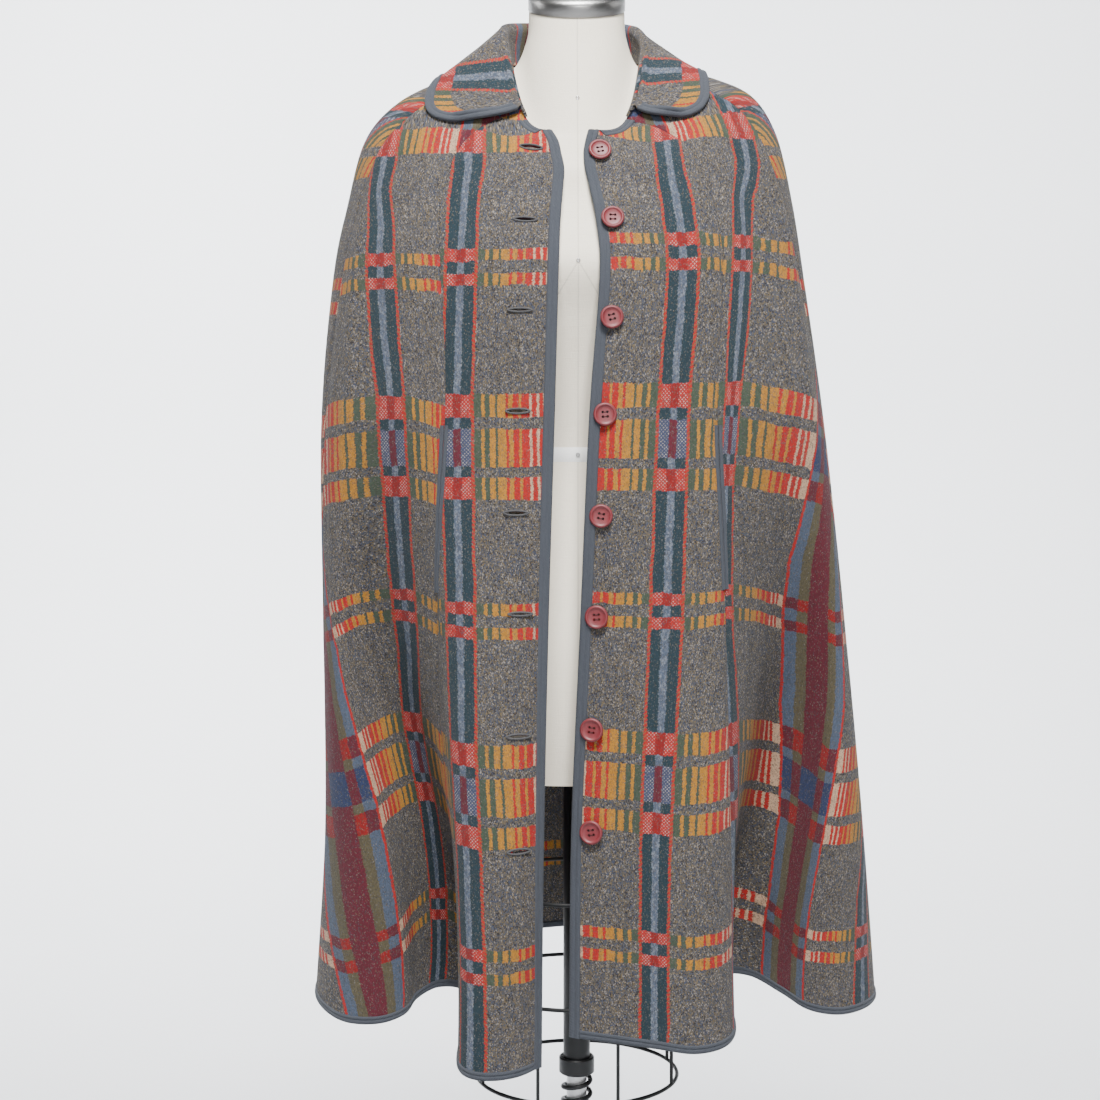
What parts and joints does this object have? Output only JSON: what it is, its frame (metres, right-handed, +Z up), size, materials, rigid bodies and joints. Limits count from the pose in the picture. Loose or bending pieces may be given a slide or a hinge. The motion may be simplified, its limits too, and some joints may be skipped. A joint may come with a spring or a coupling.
{
  "type": "wool cape coat on a limbless dress form",
  "caption": "Long plaid wool cape with fold-over collar, bound edges, arm slits and round buttons, open on a limbless dress form with a wire cage and a sliding pole stand.",
  "frame": {"origin": "centre of the base plate's underside, on the pole's axis", "axes": "+Z up along the pole, the cape's front faces -Y, +X to the wearer's left"},
  "size_m": [0.5978, 0.5222, 1.5255],
  "materials": {
    "plaid_wool": "brushed blanket plaid",
    "slate_braid": "woven binding",
    "rose_button": "polished",
    "form_linen": "plain linen",
    "cap_metal": "brushed",
    "black_wire": "gloss black",
    "black_pole": "satin black",
    "tube_metal": "satin",
    "black_iron": "painted black"
  },
  "bodies": {
    "stand": {"base": "black_iron", "inner_tube": "tube_metal", "spring_seat": "black_pole", "spring": "black_wire"},
    "dressed_form": {"front_right": "plaid_wool", "side_right": "plaid_wool", "back": "plaid_wool", "side_left": "plaid_wool", "front_left": "plaid_wool", "collar": "plaid_wool", "front_binding_right": "slate_braid", "front_binding_left": "slate_braid", "hem_binding": "slate_braid", "neck_binding_right": "slate_braid", "neck_binding_left": "slate_braid", "slit_binding_right_front": "slate_braid", "slit_binding_right_side": "slate_braid", "slit_binding_left_front": "slate_braid", "slit_binding_left_side": "slate_braid", "collar_binding": "slate_braid", "button_1": "rose_button", "button_2": "rose_button", "button_3": "rose_button", "button_4": "rose_button", "button_5": "rose_button", "button_6": "rose_button", "button_7": "rose_button", "button_8": "rose_button", "form_torso": "form_linen", "neck_cap": "cap_metal", "cage": "black_wire", "pole": "black_pole", "flange": "black_pole"}
  },
  "joints": [
    {"name": "height_slide", "type": "slide", "parent": "stand", "child": "dressed_form", "axis": [0, 0, 1], "range_m": [0, 0.2]}
  ]
}
